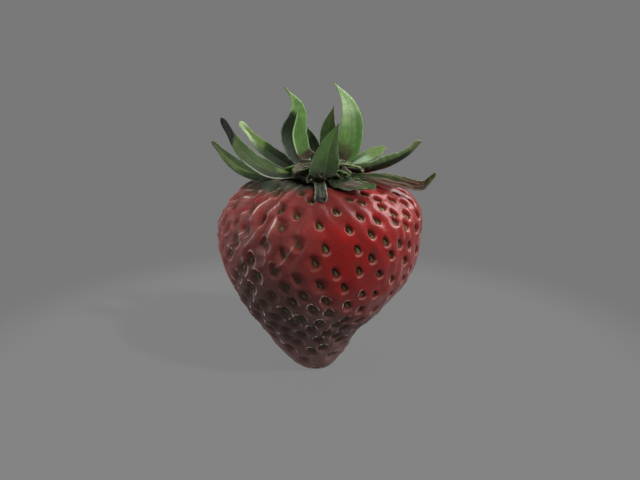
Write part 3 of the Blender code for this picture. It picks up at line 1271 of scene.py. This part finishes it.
def all_sepals() -> list[Sepal]:
    """List the sepals.

    Returns:
        The thirteen sepals, each with its shape and its own finish.
    """
    return [
        # Its darker lower half is painted shade.
        Sepal("sepal_left_low", 172,
              ((-3.7, 0.4, 39.0), (-9.0, 1.0, 38.9), (-13.6, 1.4, 40.0), (-16.8, 1.7, 42.2),
               (-19.9, 2.0, 45.6)), 1.8,
              LeafFinish(DARK_GREEN, OLIVE_GREEN, OLIVE_GREEN, (0.085, 0.080, 0.030),
                         scorch_from=0.94, base_until=0.48,
                         patches=(Patch(DARK_GREEN, side=(-2, -0.1), strength=0.5),)),
              roll=(-25, -45), cup=(15, 15), tip_width=0.60),
        # Painted light and shade: a darker base and belly, a lighter yellow and leaf green upper
        # half, and a painted rim highlight along the lower edge.
        Sepal("sepal_left_broad", 192,
              ((-3.5, -1.4, 39.7), (-7.2, -2.2, 40.1), (-11.1, -3.0, 42.1),
               (-14.2, -3.6, 45.4), (-17.1, -3.8, 50.5)), 1.95,
              LeafFinish(DARK_GREEN, OLIVE_GREEN, OLIVE_GREEN, BLACKENED, scorch_from=0.80,
                         scorch_side=0.04,
                         patches=(Patch(DARK_GREEN, (-1, 0.45), (-2, 2), 0.6, 0.2),
                                  Patch(DARK_GREEN, (-1, 0.60), (0.2, 2), 0.8, 0.2),
                                  Patch(LEAF_GREEN, (0.30, 0.78), (-0.8, 0), 0.8, 0.15),
                                  Patch(YELLOW_GREEN, (0.08, 0.26), (-0.7, -0.1), 0.7, 0.05),
                                  Patch((0.52, 0.55, 0.46), (-1, 0.62), (0.9, 2), 0.85, 0.05))),
              roll=(-30, -65), cup=(15, 15), tip_width=0.75),
        # Its pale yellow tip is painted light.
        Sepal("sepal_back_left", 150,
              ((-2.5, 1.9, 39.4), (-7.0, 4.9, 41.5), (-11.2, 6.6, 44.4), (-15.2, 8.0, 48.7)), 1.6,
              LeafFinish(DARK_GREEN, LEAF_GREEN, PAINTED_LIGHT_CREAM, base_until=0.5, tip_from=0.72,
                         patches=(Patch(YELLOW_GREEN, (0.60, 0.92), (-2, 0.1), 0.9),
                                  Patch((0.085, 0.110, 0.070), (0.05, 0.62), (0.05, 2), 0.8,
                                        0.1))),
              roll=(-30, -45), cup=(20, 20), base_share=0.4, tip_width=0.75),
        # Painted shade darkens its outer half; a thin very pale line is a painted highlight along
        # its curl.
        Sepal("sepal_curled", 122,
              ((-2.2, 3.3, 41.0), (-3.9, 3.6, 42.6), (-4.9, 5.3, 46.4), (-3.9, 6.4, 50.7),
               (-4.4, 6.0, 53.3), (-5.9, 5.4, 55.6)), 3.6,
              LeafFinish(BROWN_BASE, (0.145, 0.30, 0.075), (0.34, 0.54, 0.20), BROWN_TIP,
                         base_until=0.25, scorch_from=0.97,
                         patches=(Patch((0.016, 0.024, 0.012), (-1, 0.60), (-0.1, 2), 1.0, 0.05),
                                  Patch(YELLOW_GREEN, (0.75, 0.97), (0, 2), 0.6, 0.2),
                                  Patch(LEAF_GREEN, (0.20, 0.50), (-2, -0.2), 0.42, 0.14),
                                  Patch(PAINTED_LIGHT_CREAM, (0.2, 0.6), (-0.18, -0.12), 0.7, 0.04))),
              widest=0.30, cup=(30, 60), base_share=0.88, taper=1.9),
        Sepal("sepal_back", 100, ((0.5, 4.7, 39.8), (-0.4, 7.2, 43.8), (-1.6, 8.4, 47.6)), 1.4,
              LeafFinish(DARK_GREEN, DARK_GREEN, DARK_GREEN)),
        Sepal("sepal_back_small", 78,
              ((1.7, 2.7, 40.2), (2.4, 4.6, 44.5), (2.8, 5.0, 48.5), (3.6, 5.2, 52.0)), 1.7,
              LeafFinish(middle=LEAF_GREEN, tip=LEAF_GREEN, scorch=BROWN_TIP,
                         patches=(Patch(BROWN_TIP, side=(-2, -0.5), strength=0.5),)),
              widest=0.45, taper=1.4),
        # Its very pale tip is painted backlight glow; the darker green on one side is painted
        # shade.
        Sepal("sepal_tall", 62,
              ((2.9, 4.4, 39.7), (5.9, 6.1, 41.9), (7.1, 7.1, 47.0), (6.5, 7.4, 52.0),
               (3.6, 6.5, 56.5)), 2.45,
              LeafFinish(BROWN_BASE, PALE_GREEN, PAINTED_LIGHT_CREAM, BROWN_TIP, base_until=0.37,
                         tip_from=0.55, scorch_from=0.98,
                         patches=(Patch(LIGHT_GREEN, (-1, 0.70), (-2, -0.45), 0.8, 0.15),
                                  Patch(LIGHT_GREEN, (0.40, 0.64), (-0.7, 1), 0.5, 0.10))),
              widest=0.45, cup=(25, 25), roll=(0, 60), base_share=0.8, taper=1.3),
        # The pale blob is a painted highlight.
        Sepal("sepal_back_right", 30,
              ((5.4, 2.1, 40.0), (8.9, 3.9, 41.6), (11.7, 6.1, 42.6), (14.0, 8.0, 43.7)), 1.5,
              LeafFinish(middle=(0.10, 0.17, 0.05), tip=YELLOW_GREEN,
                         patches=(Patch((0.42, 0.58, 0.40), (0.15, 0.5), (-0.9, 0.3), 0.55,
                                        0.12),)),
              roll=(25, 35), cup=(20, 20), base_share=0.35, widest=0.6, tip_width=0.8),
        # A painted highlight along its upper edge, and painted shade over most of the rest.
        Sepal("sepal_right_long", 2,
              ((5.7, 0.1, 39.5), (10.9, 0.4, 40.3), (14.4, 0.6, 41.4), (17.6, 0.8, 43.2),
               (20.2, 1.0, 45.8)), 2.5,
              LeafFinish(DARK_GREEN, (0.034, 0.066, 0.026), OLIVE_GREEN,
                         patches=(Patch((0.21, 0.29, 0.14), (0.1, 0.95), (-2, -0.58), 0.75, 0.1),
                                  Patch((0.014, 0.056, 0.025), (-1, 0.85), (-0.5, 0.9), 0.8, 0.1),
                                  Patch((0.24, 0.28, 0.13), (0.80, 2), (-1, 2), 0.7, 0.08))),
              cup=(50, 40), roll=(-30, -35), base_share=0.85, tip_width=1.1, ragged=0.04),
        Sepal("sepal_right_dried", -26,
              ((5.2, -2.2, 39.2), (10.8, -4.2, 39.5), (15.6, -5.0, 38.8), (19.7, -5.6, 38.3),
               (22.1, -6.0, 40.8)), 1.5,
              LeafFinish(DARK_GREEN, DRY_PINK, OLIVE_GREEN, tip_from=0.85, dryness=0.45,
                         dried=DRY_PINK,
                         patches=(Patch(LEAF_GREEN, (0.15, 0.55), (0.2, 0.9), 0.8, 0.1),
                                  Patch(DRY_BEIGE, (0.2, 0.8), (-0.3, 0), 0.6, 0.08),
                                  Patch((0.17, 0.20, 0.11), (0.9, 2), (-0.2, 2), 0.8, 0.06))),
              cup=(20, 20), roll=(20, 50), tip_width=0.45, ragged=0.05, crumple=0.13,
              slot=Slot.DRIED_LEAF),
        Sepal("sepal_front_right", -60,
              ((3.3, -4.1, 39.2), (6.3, -8.3, 38.9), (10.8, -10.5, 39.0)), 2.3,
              LeafFinish(DARK_GREEN, DARK_GREEN, LEAF_GREEN, tip_from=0.70,
                         patches=(Patch(DRY_BEIGE, (0.38, 0.75), (-0.1, 0.7), 0.8, 0.1),
                                  Patch(DRY_PINK, (0.3, 0.8), (-0.5, -0.1), 0.6, 0.1))),
              cup=(15, 15), roll=(15, 20), tip_width=0.9, ragged=0.05, crumple=0.06),
        Sepal("sepal_front_stub", -95,
              ((0.6, -4.6, 38.8), (0.9, -8.6, 38.8), (1.1, -11.8, 37.6), (1.1, -13.0, 36.6)),
              1.25,
              LeafFinish(DARK_GREEN, (0.075, 0.085, 0.055), (0.06, 0.07, 0.045),
                         (0.20, 0.20, 0.16), (0.42, 0.44, 0.36), DARK_GREEN, scorch_from=0.97,
                         patches=(Patch(BLACKENED, (0.74, 0.95), (-0.7, 0.7), 1.0, 0.04),
                                  Patch(BLACKENED, (0.5, 0.95), (-0.9, -0.3), 0.7, 0.1))),
              cup=(45, 45), base_share=0.45, widest=0.85, tip_width=1.1, crumple=0.08),
        # Painted light and shade: one half made lighter green, the other darker.
        Sepal("sepal_front_keeled", -82,
              ((1.5, -3.0, 40.2), (1.5, -7.1, 40.2), (2.0, -8.2, 43.0), (2.7, -7.4, 46.1),
               (4.3, -5.6, 49.7)), 2.7,
              LeafFinish((0.115, 0.140, 0.112), LEAF_GREEN, LEAF_GREEN, BROWN_TIP,
                         base_until=0.42,
                         patches=(Patch(LIGHT_GREEN, (0.45, 0.95), (-0.85, -0.1), 0.35, 0.15),
                                  Patch(DARK_GREEN, (0.3, 2), (0.08, 2), 0.26, 0.06),
                                  Patch((0.15, 0.19, 0.11), (-1, 0.55), (-2, -0.45), 0.6, 0.2),
                                  Patch(LIGHT_GREEN, (0.50, 0.95), (-0.06, 0.03), 0.4, 0.04))),
              widest=0.36, base_share=0.7, cup=(30, 30), taper=1.1),
    ]


@dataclass
class Centre:
    """The disc that carries the sepals, and the torn end of the stalk on it."""

    centre: Point = (1.0, 0.0, 0.0)
    disc_radius: float = 4.0
    disc_foot: float = 38.3
    disc_top: float = 39.7
    disc_sides: int = 96
    disc_steps: int = 12
    stalk_radius: float = 1.1
    stalk_height: float = 2.8
    stalk_sides: int = 36
    stalk_rings: int = 24
    torn: float = 0.5

    def turned(self, name: str, profile: list[Span], sides: int,
               fray: float = 0.0) -> bpy.types.Mesh:
        """Turn a profile about the middle of the cap.

        Args:
            name: The mesh's name.
            profile: The radius and height of each ring.
            sides: The number of points in a ring.
            fray: How unevenly the last rings end, in millimetres.

        Returns:
            The closed mesh.
        """
        rings = []
        for number, (radius, height) in enumerate(profile):
            share = number / (len(profile) - 1)
            ring = []
            for side in range(sides):
                turn = 2 * math.pi * side / sides
                wide = radius * (1 + 0.05 * math.sin(turn * 9) + 0.03 * math.sin(turn * 5 + number))
                torn = fray * share**3 * math.sin(turn * 7 + 1.3) * math.sin(turn * 3)
                ring.append(Vector(self.centre) + Vector(
                    (wide * math.cos(turn), wide * math.sin(turn), height + torn)))
            rings.append(ring)
        return skin_rings(name, rings)

    def build(self) -> None:
        """Make the disc and the stalk."""
        point = 0.02
        middle, half = (self.disc_foot + self.disc_top) / 2, (self.disc_top - self.disc_foot) / 2
        turns = [math.pi * (step / self.disc_steps - 0.5) for step in range(self.disc_steps + 1)]
        rim = [(self.disc_radius * (0.82 + 0.18 * math.cos(turn)), middle + half * math.sin(turn))
               for turn in turns]
        disc = [(point, self.disc_foot), (self.disc_radius * 0.7, self.disc_foot), *rim,
                (self.disc_radius * 0.5, self.disc_top), (point, self.disc_top)]
        green = FibreFinish("disc_green", (0.18, 0.17, 0.12), (0.06, 0.06, 0.04))
        present(self.turned("calyx_disc_body", disc, self.disc_sides), green.material(),
                Slot.LEAF, "calyx_disc")
        stalk = []
        for number in range(self.stalk_rings):
            share = number / (self.stalk_rings - 1)
            waist = 1 - 0.25 * math.sin(share * math.pi * 0.7)
            stalk.append((self.stalk_radius * waist, self.disc_top + share * self.stalk_height))
        for inner in (0.7, 0.4, 0.1):
            stalk.append((stalk[-1][0] * inner, stalk[-1][1] - 0.15))
        straw = FibreFinish("stalk_fibre", (0.20, 0.22, 0.10), (0.07, 0.07, 0.035))
        present(self.turned("stalk_stub_body", stalk, self.stalk_sides, self.torn),
                straw.material(), Slot.STALK, "stalk_stub")


@dataclass
class Stamens:
    """The withered threads, each with its head, that stand in a ring on the disc."""

    count: int = 90
    ring: Ring = Ring((1.0, 0.0, 39.4), (2.4, 5.0), (0, 0),
                      ((-0.4, 0.2, -0.6), (0.4, 1.1, 0.6)), (0.6, 1.1))
    length: float = 2.6
    thread: float = 0.06
    head: float = 0.22
    random_seed: int = 4
    finish: FibreFinish = FibreFinish("dried_thread", (0.30, 0.24, 0.18), (0.09, 0.068, 0.048))

    def build(self) -> None:
        """Lay out the threads and make them one piece."""
        tree = ShapeTree("stamens", Count=self.count, Seed=self.random_seed,
                         **in_metres(self, "length", "thread", "head"),
                         Material=self.finish.material())
        tall = tree["Length"]
        end = tree.join(tall * 0.55, 0, tall * 0.8)
        line = tree.geo("CurveQuadraticBezier", 6, (0.0, 0.0, 0.0), tree.join(0, 0, tall * 0.7),
                        end)
        ring = tree.geo("CurvePrimitiveCircle", Resolution=5, Radius=tree["Thread"])
        stem = tree.geo("CurveToMesh", line, Profile_Curve=ring, Fill_Caps=True)
        knob = tree.geo("Transform", tree.geo("MeshUVSphere", 8, 5, tree["Head"]),
                        Translation=end, Rotation=(0.3, 0.6, 0.0), Scale=(1.0, 0.65, 0.75))
        both = tree.call("GeometryNodeJoinGeometry", stem)
        tree.feed(both.inputs[0], knob)
        tree.finish(tree.strew(Wire(tree, both.outputs[0]), self.ring))
        declare(tree.run("stamens"), Slot.DRIED_LEAF)


@dataclass
class Bracts:
    """The withered strips that lie in layers between the bases of the sepals."""

    count: int = 28
    ring: Ring = Ring((1.0, 0.0, 39.8), (3.6, 5.2), (-0.5, 0.9),
                      ((-0.3, -0.10, -0.6), (0.3, 0.15, 0.6)), (0.6, 1.15))
    length: float = 6.0
    width: float = 2.6
    thickness: float = 0.16
    arch: float = 0.6
    crumple: float = 0.40
    random_seed: int = 9
    finish: LeafFinish = LeafFinish(
        (0.038, 0.032, 0.025), (0.064, 0.054, 0.041), (0.095, 0.080, 0.062),
        pale_margin_and_rim_light=(0.44, 0.40, 0.34), vein=(0.12, 0.10, 0.08), dryness=0.5,
        dried=(0.115, 0.075, 0.058))

    def strip(self, tree: ShapeTree) -> Wire:
        """Shape one strip: a thin slab that arches along its length and narrows to its end.

        Args:
            tree: The tree that it is done in.

        Returns:
            The strip.
        """
        along, beside, up = tree.axes(tree.geo("InputPosition"))
        hump = tree.work("COSINE", along * math.pi) * tree["Arch"]
        rise = hump + beside * beside * tree["Width"] + up * tree["Thickness"]
        narrow = along.ramp(-0.1, 0.55, 1, 0.35)
        slab = tree.store(tree.geo("MeshCube", (1.0, 1.0, 1.0), 13, 9, 2),
                          along=along + 0.5, side=beside * 2,
                          spot=tree.join(along * tree["Length"],
                                         beside * narrow * tree["Width"], rise))
        return tree.geo("SetPosition", slab, Position=tree.vector("spot"))

    def build(self) -> None:
        """Lay the strips round the disc, crumple them and make them one piece."""
        tree = ShapeTree("bracts", Count=self.count, Seed=self.random_seed,
                         **in_metres(self, "length", "width", "thickness", "arch", "crumple"),
                         Material=self.finish.material("withered_bract"))
        laid = tree.geo("RealizeInstances", tree.strew(self.strip(tree), self.ring))
        stray = tree.noise(tree.geo("InputPosition") * TO_MM, 0.8, Detail=1, output=1)
        stray -= (0.5, 0.5, 0.5)
        tree.finish(tree.geo("SetPosition", laid, Offset=stray * tree["Crumple"]))
        declare(tree.run("bracts"), Slot.DRIED_LEAF)


@dataclass
class Fuzz:
    """The short pale hairs on the sepals' margins and bases."""

    density: float = 1.6
    length: float = 0.50
    thickness: float = 0.030
    lean: tuple[Point, Point] = ((-0.9, -0.9, 0.0), (0.9, 0.9, 3.0))
    scale: Span = (0.5, 1.2)
    random_seed: int = 5
    finish: FibreFinish = FibreFinish("leaf_hair", (0.36, 0.38, 0.30), (0.18, 0.20, 0.14))

    def build(self, blades: list[bpy.types.Object]) -> None:
        """Scatter the hairs over the finished sepals and make them one piece.

        Args:
            blades: The finished sepals.
        """
        group = bpy.data.collections.new("sepal_blades")
        for blade in blades:
            group.objects.link(blade)
        tree = ShapeTree("fuzz", Blades=group, Seed=self.random_seed,
                         Density=self.density / MM**2, **in_metres(self, "length", "thickness"),
                         Material=self.finish.material())
        along = tree.number("along")
        edge = tree.work("ABSOLUTE", tree.number("side")).ramp(0.8, 1, 0.08, 1)
        thick = tree.work("MAXIMUM", edge * along.ramp(0.75, 0.55), along.ramp(0.45, 0.15))
        leaves = tree.geo("RealizeInstances", tree.geo("CollectionInfo", tree["Blades"]))
        strewn = tree.call("GeometryNodeDistributePointsOnFaces", leaves, Seed=tree["Seed"],
                           Density=thick * tree["Density"], distribute_method="RANDOM")
        points, facing = (Wire(tree, strewn.outputs[name]) for name in ("Points", "Rotation"))
        hair = tree.geo("MeshCone", Vertices=4, Radius_Top=0.0, Radius_Bottom=tree["Thickness"],
                        Depth=tree["Length"])
        stray = tree.random(*self.lean)
        lean = tree.out("FunctionNodeRotateRotation", facing,
                        tree.out("FunctionNodeEulerToRotation", stray), rotation_space="LOCAL")
        tree.finish(tree.geo("InstanceOnPoints", points, Instance=hair, Rotation=lean,
                             Scale=tree.random(*self.scale)), smooth=False)
        piece = tree.run("sepal_hairs")
        bpy.data.collections.remove(group)
        declare(piece, Slot.LEAF)


@dataclass(frozen=True)
class Lamp:
    """A light turned to the berry.

    azimuth and elevation are its place round the berry in degrees: 0 is the front, 90 the right.
    away is its distance in millimetres. A square lamp's size is its side in metres, the sun's
    is its angle. Power is in watts, for the sun in watts for each square metre. Glossy
    surfaces mirror only a lamp with shine.
    """

    name: str
    azimuth: float
    elevation: float
    away: float
    size: float
    power: float
    shine: bool = True


@dataclass
class Studio:
    """The pale floor, the grey room, the lights and the camera."""

    aim: Point = (0.9, 0.0, 26.4)
    elevation: float = 15.5
    distance: float = 130.0
    lens: float = 37.1
    floor_radius: float = 89.0
    floor_fade: float = 60.0
    floor_glow: float = 0.203
    room: float = 0.190
    sun: Lamp = Lamp("sun", 52, 41, 450, math.radians(5), 1.73, shine=False)
    lamps: tuple[Lamp, ...] = (
        Lamp("side", 118, 39, 350, 0.22, 0.62),
        Lamp("back", 150, 45, 450, 0.20, 0.7, shine=False),
        Lamp("top", 60, 80, 400, 0.30, 0.4, shine=False),
        Lamp("fill", -95, 10, 450, 0.35, 0.60),
    )
    unlit: bpy.types.Collection = field(init=False)

    def place(self, name: str, data: Any, azimuth: float, elevation: float,
              away: float) -> bpy.types.Object:
        """Place a lamp or a camera, turned to the berry.

        Args:
            name: Its name.
            data: The lamp or the camera.
            azimuth: Its place round the berry, in degrees: 0 is its front, 90 its right.
            elevation: Its height above the horizon, in degrees.
            away: Its distance in millimetres.

        Returns:
            The object.
        """
        turn, rise = math.radians(azimuth), math.radians(elevation)
        way = Vector((math.sin(turn) * math.cos(rise), -math.cos(turn) * math.cos(rise),
                      math.sin(rise)))
        thing = link_object(name, data)
        thing.location = (Vector(self.aim) + way * away) * MM
        thing.rotation_euler = way.to_track_quat("Z", "Y").to_euler()
        return thing

    def camera(self) -> None:
        """Place the camera in front of the berry, a little above it."""
        data = bpy.data.cameras.new("camera")
        data.lens = self.lens
        data.clip_start = 0.005
        bpy.context.scene.camera = self.place("camera", data, 0, self.elevation, self.distance)

    def light(self, lamp: Lamp, kind: str) -> bpy.types.Object:
        """Hang one lamp.

        Args:
            lamp: The lamp.
            kind: The type of its light.

        Returns:
            The light.
        """
        data = bpy.data.lights.new(lamp.name, kind)
        data.energy = lamp.power
        light = self.place(lamp.name, data, lamp.azimuth, lamp.elevation, lamp.away)
        light.visible_glossy = lamp.shine
        return light

    def room_light(self) -> None:
        """Fill the room with even grey light, and show colours as they are."""
        bpy.context.scene.view_settings.view_transform = "Standard"
        world = bpy.data.worlds.new("room")
        world.use_nodes = True
        shade = world.node_tree.nodes["Background"]
        shade.inputs["Color"].default_value = (self.room, self.room, self.room, 1.0)
        shade.inputs["Strength"].default_value = 1.0
        bpy.context.scene.world = world

    def floor(self) -> None:
        """Lay the round floor, which fades out towards its rim and takes only the sun."""
        shape = bmesh.new()
        bmesh.ops.create_circle(shape, cap_ends=True, segments=128,
                                radius=self.floor_radius * MM)
        mesh = bpy.data.meshes.new("floor")
        shape.to_mesh(mesh)
        shape.free()
        floor = link_object("floor", mesh)
        skin = SkinShader("floor_card")
        place = skin.place()
        cloud = skin.noise(place, 0.05).ramp(0.2, 0.8)
        fade = skin.work("LENGTH", place).ramp(self.floor_radius, self.floor_fade)
        skin.set(Base_Color=skin.mix(cloud, (0.049,) * 3, (0.051,) * 3), Roughness=0.95,
                 Specular_IOR_Level=0.0, Emission_Color=(self.floor_glow,) * 3,
                 Emission_Strength=1.0, Alpha=fade)
        mesh.materials.append(skin.material)
        self.unlit = bpy.data.collections.new("unlit_floor")
        self.unlit.objects.link(floor)
        self.unlit.collection_objects[0].light_linking.link_state = "EXCLUDE"

    def build(self) -> None:
        """Set up the whole studio. Only the sun lights the floor."""
        self.camera()
        self.room_light()
        self.floor()
        self.light(self.sun, "SUN").data.angle = self.sun.size
        for lamp in self.lamps:
            light = self.light(lamp, "AREA")
            light.data.size = lamp.size
            light.light_linking.receiver_collection = self.unlit


def main() -> None:
    """Build the berry and its studio."""
    logging.basicConfig(level=logging.INFO, format="%(name)s: %(message)s")
    skin = Fruit().build()
    Centre().build()
    blades = [sepal.build(skin) for sepal in all_sepals()]
    Stamens().build()
    Bracts().build()
    Fuzz().build(blades)
    Studio().build()


if __name__ == "__main__":
    main()
